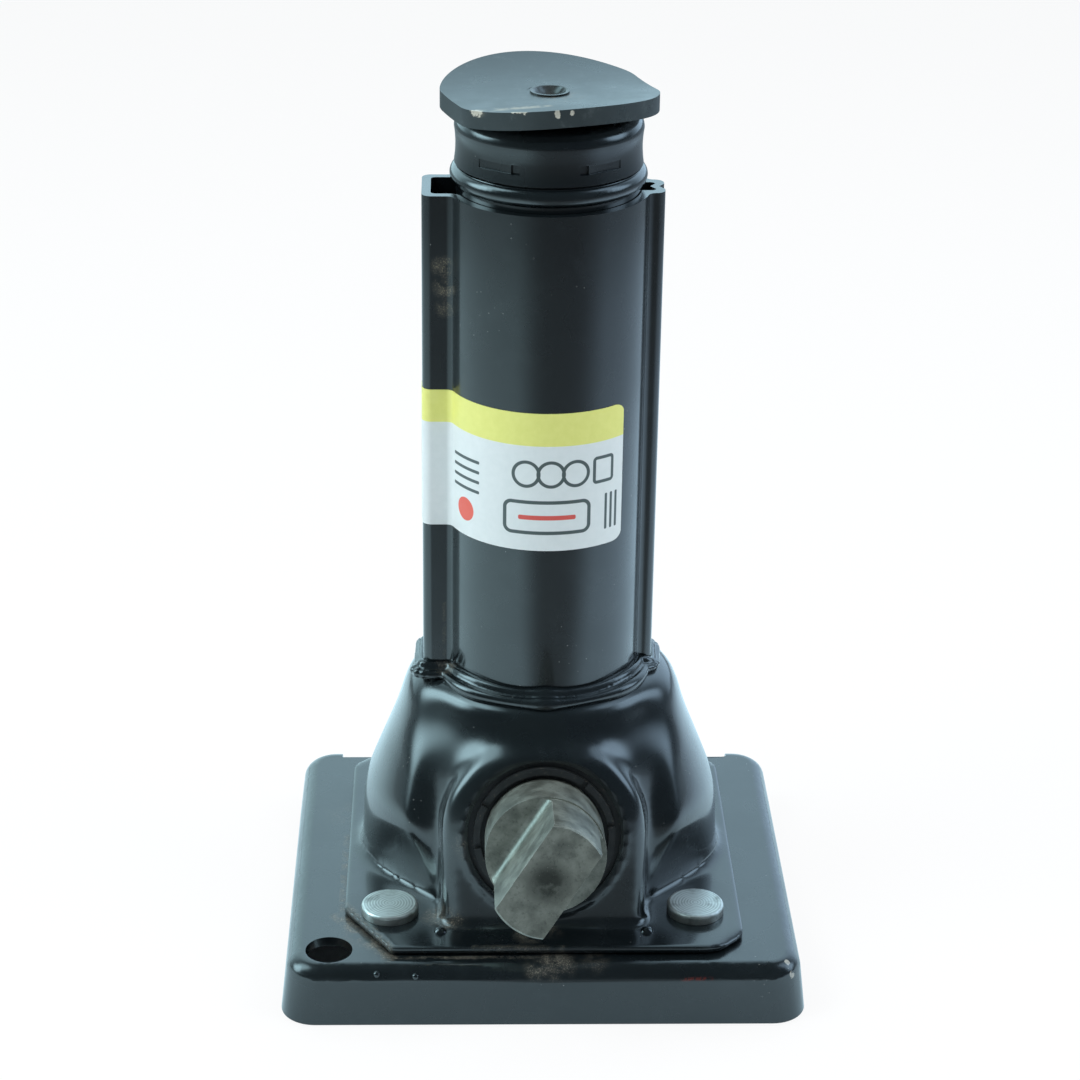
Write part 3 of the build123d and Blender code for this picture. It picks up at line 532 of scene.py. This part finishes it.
def blend_weight(point):
    """How far a point of the housing may be drawn smooth, from 0 at a rim or lip to 1."""
    rim = min(
        flange_half_width - abs(point.x),
        point.y + 61.5,
        55.0 - point.y,
        (point.x + 57.5) * 0.84 + (point.y + 61.5) * 0.54 - 11.9,
    )
    rim_share = max(0.0, min(1.0, (rim - 0.8) / 2.5))
    from_apex = point - Vector((0, 0, apex_height))
    along = from_apex.dot(shaft_direction)
    lip = (from_apex - along * shaft_direction).length
    if along > boss_face - 4 and lip < boss_hole_radius + 3.2:
        return rim_share * 0.12
    return rim_share


def bell_radius(height):
    """Outer radius of the bell at a height, in millimetres."""
    share = max(0.0, min(1.0, (height - 23.0) / 59.0))
    return 53.2 - 15.8 * share**2 * (3 - 2 * share)


def ramp(value, low, high):
    share = max(0.0, min(1.0, (value - low) / (high - low)))
    return share**2 * (3 - 2 * share)


def squareness(turn):
    """1 beside the column's channels, 0 at the front and the corners."""
    return ramp(abs(math.cos(turn)), 0.80, 0.97)


def hollowness(point):
    """How far the shoulder's corners are drawn in between the channels, from 0 to 1."""
    over = math.hypot(point.x, point.y) - bell_radius(point.z)
    if over < -1.3:
        return 0.0
    inward = 1 - squareness(math.atan2(point.y, point.x))
    return inward * ramp(point.z, 65.0, 76.0) * (1 - ramp(point.z, 80.0, 82.0)) * (1 - ramp(over, 0.8, 3.5))


def fullness(point):
    """How far the bell's outer wall stands fuller than its turned form, from 0 to 1."""
    reach = math.hypot(point.x, point.y)
    turn = math.atan2(point.y, point.x)
    pocket = 7.0 * max(0.0, 59.0 - point.z) / 42.0 * (1 - math.cos(4 * turn)) / 2
    over = reach - bell_radius(point.z) + pocket
    if over < -1.3:
        return 0.0
    beside_boss = ramp(abs(point.x), 31.0, 36.0) if point.y < 0 else 1.0
    fuller = 2.4 * ramp(point.z, 27.0, 44.0) * max(beside_boss, ramp(point.z, 64.0, 74.0))
    fuller *= 1 - (1 - squareness(turn)) * ramp(point.z, 60.0, 74.0)
    fuller += pocket * ramp(point.z, 33.0, 46.0) * beside_boss
    return fuller / bell_fullness * (1 - ramp(point.z, 76.0, 81.6)) * (1 - ramp(over - pocket, 0.8, 3.5))


def shoulder_weight(point):
    """1 on the bell's shoulder, fading to 0 towards the weld and the wall."""
    reach = math.hypot(point.x, point.y)
    return ramp(point.z, 56.0, 68.0) * ramp(reach, 30.0, 34.0) * (1 - ramp(-point.y, 36.0, 42.0))


def ball(place, radius):
    deselect()
    bpy.ops.mesh.primitive_uv_sphere_add(
        segments=24, ring_count=12, radius=radius * MM, location=[c * MM for c in place]
    )
    return rest(bpy.context.object)


def housing():
    """Pressed housing: the sheet is remeshed, and its joints are drawn smooth."""
    piece = pressed_copy("gear_housing", "housing")
    plug = tilted_bar(boss_hole_radius + 1.0, boss_face - 2.6, boss_face)
    deselect()
    bpy.ops.mesh.primitive_torus_add(
        major_radius=(boss_hole_radius + 1.0) * MM, minor_radius=1.0 * MM,
        major_segments=96, minor_segments=16, location=tilted(boss_face - 0.1)
    )
    lip = on_tilt(bpy.context.object)
    feet = [ball((x, boss_foot_y, flange_top - 0.5), 2.0) for x in (-boss_foot_x, boss_foot_x)]
    piece = join([piece, plug, lip], "housing")
    modify(piece, "REMESH", mode="VOXEL", voxel_size=0.85 * MM, adaptivity=0.0)
    vertex_weights(piece, "full", fullness)
    modify(piece, "DISPLACE", strength=bell_fullness * MM, mid_level=0.0, vertex_group="full")
    vertex_weights(piece, "hollow", hollowness)
    modify(piece, "DISPLACE", strength=-2.0 * MM, mid_level=0.0, vertex_group="hollow")
    vertex_weights(piece, "shoulder", shoulder_weight)
    modify(piece, "SMOOTH", factor=0.5, iterations=200, vertex_group="shoulder")
    vertex_weights(piece, "drawn", blend_weight)
    modify(piece, "SMOOTH", factor=0.5, iterations=34, vertex_group="drawn")
    modify(piece, "SMOOTH", factor=0.5, iterations=3)
    cut(piece, tilted_bar(boss_hole_radius - 0.4, boss_face - 8, boss_face + 8))
    piece.vertex_groups.clear()
    piece = join([piece] + feet, "housing")
    smooth(piece, 50, False)
    return dress(piece, "root", "black_paint", [housing_paint], "gear_housing")


def outline_reach(turn):
    """Distance from the column axis to its outline at a turn, in millimetres."""
    c, s = math.cos(turn), math.sin(turn)
    reach = column_radius
    ears = ((-1, wide_ear_reach, wide_ear_half_depth), (1, narrow_ear_reach, narrow_ear_half_depth))
    for side, length, half in ears:
        if c * side <= 0:
            continue
        across = length / abs(c)
        if abs(s) > 1e-6:
            across = min(across, half / abs(s))
        reach = max(reach, across)
    return reach


def foot_path(step, passes):
    """Evenly spaced points round the column's foot, its corners rounded by averaging."""
    fine = []
    for k in range(3600):
        turn = math.tau * k / 3600
        reach = outline_reach(turn)
        fine.append(Vector((reach * math.cos(turn), reach * math.sin(turn), 0)))
    points, walked = [fine[0]], 0.0
    for a, b in zip(fine, fine[1:] + fine[:1]):
        walked += (b - a).length
        if walked >= step:
            points.append(b)
            walked = 0.0
    for _ in range(passes):
        behind, ahead = points[-1:] + points[:-1], points[1:] + points[:1]
        points = [(a + 2 * b + c) / 4 for a, b, c in zip(behind, points, ahead)]
    return points


def weld():
    """Fillet weld round the column's foot: two runs melted together, with a few stops."""
    drops = []
    deselect()
    bpy.ops.mesh.primitive_ico_sphere_add(subdivisions=2, radius=1.0 * MM)
    drop = bpy.context.object
    path = foot_path(0.9, 4)
    for number, point in enumerate(path):
        along = path[(number + 1) % len(path)] - path[number - 1]
        outward = Vector((along.y, -along.x, 0)).normalized()
        sway = math.sin(number * 0.19) * math.sin(number * 0.053 + 1)
        stop = max(0.0, math.sin(number * 0.083 + 0.6)) ** 24
        slim = 1 - 0.45 * ramp(abs(point.x), 29.0, 33.0) * ramp(point.y, -9.5, -6.0)
        runs = ((0.6 + 0.25 * sway, 2.5 + 0.35 * sway, 1.65), (3.0 + 0.45 * sway, 0.5, 1.75 + 0.3 * sway))
        for away, rise, size in runs:
            copy = drop.copy()
            copy.data = drop.data.copy()
            bpy.context.scene.collection.objects.link(copy)
            copy.location = (point + outward * away * slim + Vector((0, 0, column_foot + rise * slim))) * MM
            copy.scale = [size * slim * (1 + 0.3 * stop)] * 3
            drops.append(copy)
    bpy.data.objects.remove(drop)
    piece = join(drops, "weld")
    rest(piece)
    modify(piece, "REMESH", mode="VOXEL", voxel_size=0.42 * MM)
    modify(piece, "SMOOTH", factor=0.5, iterations=5)
    smooth(piece, 60, False)
    return dress(piece, "root", "black_paint", [weld_paint], "column_weld")


def plain(node, body, material, width, angle=30, edge=None):
    """A turned or pressed piece, as made, with its edges broken and perhaps rubbed; the ground edge finish also
    paints a highlight on them.
    """
    piece = pressed_copy(node, node + "_piece")
    materials = [material] + ([edge] if edge else [])
    for finish in materials:
        piece.data.materials.append(finish)
    flats(piece)
    if width:
        soften(piece, width, 2, angle, len(materials) - 1)
    smooth(piece, 40)
    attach(piece, body)
    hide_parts(node)
    return piece


def column():
    """Rolled column; the paint has rubbed off the upper rim in places."""
    piece = plain("outer_tube", "root", column_paint, 0.4, 30, rubbed_edge)
    piece.name = "column"
    return piece


def block(turn, reach, height, across, tall, deep):
    """Bar across a radius of the jack, to cut a mark into a round wall."""
    deselect()
    place = (reach * math.cos(turn) * MM, reach * math.sin(turn) * MM, height * MM)
    bpy.ops.mesh.primitive_cube_add(size=1.0, location=place)
    bar = bpy.context.object
    bar.scale = (deep * MM, across * MM, tall * MM)
    bar.rotation_euler = (0, 0, turn)
    return rest(bar)


def ram_cap():
    """Pressed cap with five stake marks round its skirt: a long bar and a square each."""
    piece = pressed_copy("ram_cap", "cap")
    flats(piece)
    for number in range(5):
        turn = math.radians((-127, -55, 17, 89, 161)[number])
        side = 1 if number == 0 else -1
        bar = block(turn, cap_waist_radius, stake_height, 10.4, 2.4, 1.5)
        cut(piece, bar)
        inner_end = turn + side * math.radians(15.0)
        cut(piece, block(inner_end, cap_waist_radius, stake_height, 2.4, 2.6, 1.5))
    soften(piece, 0.2, 2, 30)
    smooth(piece, 40)
    return dress(piece, "ram", "black_paint", [cap_paint], "ram_cap")


def saddle_rivet():
    """Peened rivet: a low rim round a deep struck hollow."""
    piece = pressed_copy("saddle_rivet", "saddle_rivet_piece")
    piece.scale = (0.86, 0.86, 1.0)
    piece.location.z = -1.0 * MM
    rest(piece)
    cut(piece, ball((0.2, 0.2, rivet_hollow_height), 4.9))
    # The rivet's bevel faces take the ground edge finish; their pale colour is a painted highlight on the rim.
    for finish in (rivet_steel, ground_edge_and_highlight):
        piece.data.materials.append(finish)
    soften(piece, 0.25, 2, 30, 1)
    smooth(piece, 40)
    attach(piece, "ram")
    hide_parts("saddle_rivet")


def label():
    """Vinyl wrapped on the column from its left channel to the front right."""
    piece = pressed_copy("outer_tube", "label")
    activate(piece)
    bpy.ops.object.mode_set(mode="EDIT")
    cuts = [
        ((0, 0, label_bottom), (0, 0, -1)), ((0, 0, label_top), (0, 0, 1)),
        ((label_right, 0, 0), (1, 0, 0)), ((0, -3, 0), (0, 1, 0)),
    ]
    corner = 2.6
    for sign, edge in ((1, label_top), (-1, label_bottom)):
        for k in range(1, 6):
            turn = math.radians(90 * k / 6)
            normal = (math.cos(turn), 0, sign * math.sin(turn))
            centre = (label_right - corner, 0, edge - sign * corner)
            cuts.append(([c + corner * n for c, n in zip(centre, normal)], normal))
    for place, normal in cuts:
        bpy.ops.mesh.select_all(action="SELECT")
        bpy.ops.mesh.bisect(
            plane_co=[c * MM for c in place], plane_no=normal, clear_outer=True, threshold=1e-7
        )
    shell = bmesh.from_edit_mesh(piece.data)
    inner = []
    for face in shell.faces:
        middle = face.calc_center_median() / MM
        outward = Vector((middle.x, middle.y, 0)).normalized().dot(face.normal)
        flat_distance = math.hypot(middle.x, middle.y)
        outside = outline_reach(math.atan2(middle.y, middle.x)) - flat_distance < 2.1
        if not outside or abs(face.normal.z) > 0.5:
            inner.append(face)
    bmesh.ops.delete(shell, geom=inner, context="FACES")
    bmesh.update_edit_mesh(piece.data)
    bpy.ops.object.mode_set(mode="OBJECT")
    modify(piece, "SOLIDIFY", thickness=0.16 * MM, offset=1.0)
    smooth(piece, 40)
    return dress(piece, "root", "black_paint", [vinyl])


pan()
housing()
column()
weld()
label()
plain("housing_rivets", "root", zinc, 0.2)
plain("bush_lip", "root", nylon, 0.15)
plain("pinion_bush", "root", nylon, 0.1)
# The tang's bevel faces take the ground edge finish: worn steel, plus a painted highlight along its edges.
plain("drive_shaft", "crank", tang_steel, 0.3, 25, ground_edge_and_highlight)
plain("middle_tube", "middle_stage", cap_paint, 0.2)
ram_cap()
plain("saddle", "ram", saddle_paint, 0.8)
saddle_rivet()
for name, piece in nodes.items():
    if not piece.hide_render:
        piece.data.materials.clear()
        piece.data.materials.append(inner_steel)


# Studio


left_tint = rgb(0.60, 0.90, 1.0)
right_tint = rgb(0.55, 0.78, 1.0)


def tint(finish, direction):
    """Colour of what is mirrored: teal on the left, bluer on the right."""
    across = finish.node("ShaderNodeSeparateXYZ", _0=direction).outputs["X"]
    return finish.mix(finish.span(across, -0.3, 0.5), left_tint, right_tint)


def patch(finish, direction, centre, low, high, strength):
    """Soft round light in the mirrored surroundings."""
    away = finish.vector("DISTANCE", direction, tuple(Vector(centre).normalized()), "Value")
    return finish.span(away, low, high, strength, 0.0)


def mirrored_room(finish, direction):
    """Brightness of the room in reflections: a bright back wall, dark sides, two softboxes."""
    forward = finish.node("ShaderNodeSeparateXYZ", _0=direction).outputs["Y"]
    shade = finish.span(forward, 0.30, 0.76, 0.10, 1.60)
    boxes = (
        ((-0.88, 0.06, 0.40), 0.14, 0.40, 6.5), ((-0.62, 0.06, 0.78), 0.14, 0.40, 4.0),
        ((0.88, 0.06, 0.40), 0.14, 0.38, 3.2), ((0.64, 0.10, 0.76), 0.12, 0.36, 2.0),
    )
    for box in boxes:
        shade = finish.math("ADD", shade, patch(finish, direction, *box))
    return shade


def mirrored_floor(finish, place):
    """Brightness of the floor in reflections: falling off, with a dark wedge in front."""
    reach = finish.vector("LENGTH", place, output="Value")
    level = finish.math(
        "MULTIPLY", finish.span(reach, 0.07, 0.18, 0.85, 1.45), finish.span(reach, 0.28, 0.52, 1.0, 0.66)
    )
    level = finish.math("MULTIPLY", level, finish.span(reach, 0.58, 0.71, 1.0, 0.28))
    from_jack = finish.vector("NORMALIZE", finish.vector("SUBTRACT", place, (0.0, -0.10, 0.0)))
    forward = finish.vector("DOT_PRODUCT", from_jack, (0.30, -0.954, 0.0), "Value")
    return finish.math("MULTIPLY", level, finish.span(forward, 0.45, 0.96, 1.0, 0.17))


def studio_floor():
    deselect()
    bpy.ops.mesh.primitive_plane_add(size=8.0, location=(0, 0, -0.0002))
    ground = bpy.context.object
    ground.name = "studio_floor"
    finish = Finish("Pale floor")
    tree = finish.tree
    finish.set(Base_Color=rgb(0.85, 0.86, 0.87), Roughness=0.6)
    mirrored = mirrored_floor(finish, finish.place)
    ray = tree.nodes.new("ShaderNodeLightPath")
    brightness = finish.mix(ray.outputs["Is Glossy Ray"], rgb(1, 1, 1), mirrored)
    glow = finish.node("ShaderNodeEmission", Color=finish.mix(
        ray.outputs["Is Glossy Ray"], rgb(1, 1, 1), tint(finish, finish.place)), Strength=brightness)
    seen = finish.math("MAXIMUM", ray.outputs["Is Camera Ray"], ray.outputs["Is Glossy Ray"])
    parts = finish.node("ShaderNodeSeparateXYZ", _0=finish.vector("ABSOLUTE", finish.place))
    outside = finish.math(
        "MAXIMUM",
        finish.span(parts.outputs["X"], 0.072, 0.074),
        finish.span(parts.outputs["Y"], 0.058, 0.060),
    )
    share = finish.math("MULTIPLY", finish.math("MULTIPLY", seen, outside), 0.88)
    mixed = tree.nodes.new("ShaderNodeMixShader")
    tree.links.new(share, mixed.inputs[0])
    tree.links.new(finish.shader.outputs[0], mixed.inputs[1])
    tree.links.new(glow.outputs[0], mixed.inputs[2])
    tree.links.new(mixed.outputs[0], tree.nodes["Material Output"].inputs["Surface"])
    ground.data.materials.append(finish.material)


def studio_world():
    """White for the camera, the mirrored room in reflections, soft grey for light."""
    world = bpy.data.worlds.new("Studio")
    bpy.context.scene.world = world
    world.use_nodes = True
    tree = world.node_tree
    tent = Finish.__new__(Finish)
    tent.tree = tree
    direction = tree.nodes.new("ShaderNodeTexCoord").outputs["Generated"]
    soft = tree.nodes["Background"]
    soft.inputs["Color"].default_value = rgb(0.86, 0.94, 1.0)
    soft.inputs["Strength"].default_value = 0.32
    white = tent.node("ShaderNodeBackground", Color=rgb(1, 1, 1))
    mirrored = tent.node(
        "ShaderNodeBackground", Color=tint(tent, direction), Strength=mirrored_room(tent, direction)
    )
    ray = tree.nodes.new("ShaderNodeLightPath")
    glossy = tree.nodes.new("ShaderNodeMixShader")
    tree.links.new(ray.outputs["Is Glossy Ray"], glossy.inputs[0])
    tree.links.new(soft.outputs[0], glossy.inputs[1])
    tree.links.new(mirrored.outputs[0], glossy.inputs[2])
    mixed = tree.nodes.new("ShaderNodeMixShader")
    tree.links.new(ray.outputs["Is Camera Ray"], mixed.inputs[0])
    tree.links.new(glossy.outputs[0], mixed.inputs[1])
    tree.links.new(white.outputs[0], mixed.inputs[2])
    tree.links.new(mixed.outputs[0], tree.nodes["World Output"].inputs["Surface"])


def softbox(name, place, target, width, height, power, colour=(1, 1, 1)):
    lamp = bpy.data.lights.new(name, "AREA")
    lamp.shape = "RECTANGLE"
    lamp.size = width
    lamp.size_y = height
    lamp.energy = power
    lamp.color = colour
    holder = bpy.data.objects.new(name, lamp)
    bpy.context.scene.collection.objects.link(holder)
    holder.location = place
    holder.visible_glossy = False
    holder.rotation_mode = "QUATERNION"
    holder.rotation_quaternion = (Vector(target) - Vector(place)).to_track_quat("-Z", "Y")


def camera():
    lens = bpy.data.cameras.new("Camera")
    lens.sensor_width = 36.0
    lens.lens = 96.67
    lens.clip_start = 0.05
    lens.clip_end = 50.0
    holder = bpy.data.objects.new("Camera", lens)
    bpy.context.scene.collection.objects.link(holder)
    yaw = Matrix.Rotation(math.radians(-1.782), 4, "Z")
    pitch = Matrix.Rotation(math.radians(90 - 24.287), 4, "X")
    roll = Matrix.Rotation(math.radians(0.792), 4, "Z")
    holder.matrix_world = Matrix.Translation((-0.02471, -0.76314, 0.46411)) @ yaw @ pitch @ roll
    bpy.context.scene.camera = holder


studio_floor()
studio_world()
softbox("Left box", (-0.80, -0.25, 0.95), (0, 0, 0.08), 0.6, 0.7, 10.0, (0.90, 0.98, 1.0))
softbox("Right box", (0.85, -0.20, 0.95), (0, 0, 0.08), 0.6, 0.7, 7.0, (0.92, 0.95, 1.0))
softbox("Top box", (0.0, 0.25, 1.15), (0, 0, 0.1), 1.0, 0.8, 6.0, (0.92, 0.97, 1.0))
camera()
bpy.context.scene.view_settings.view_transform = "Standard"
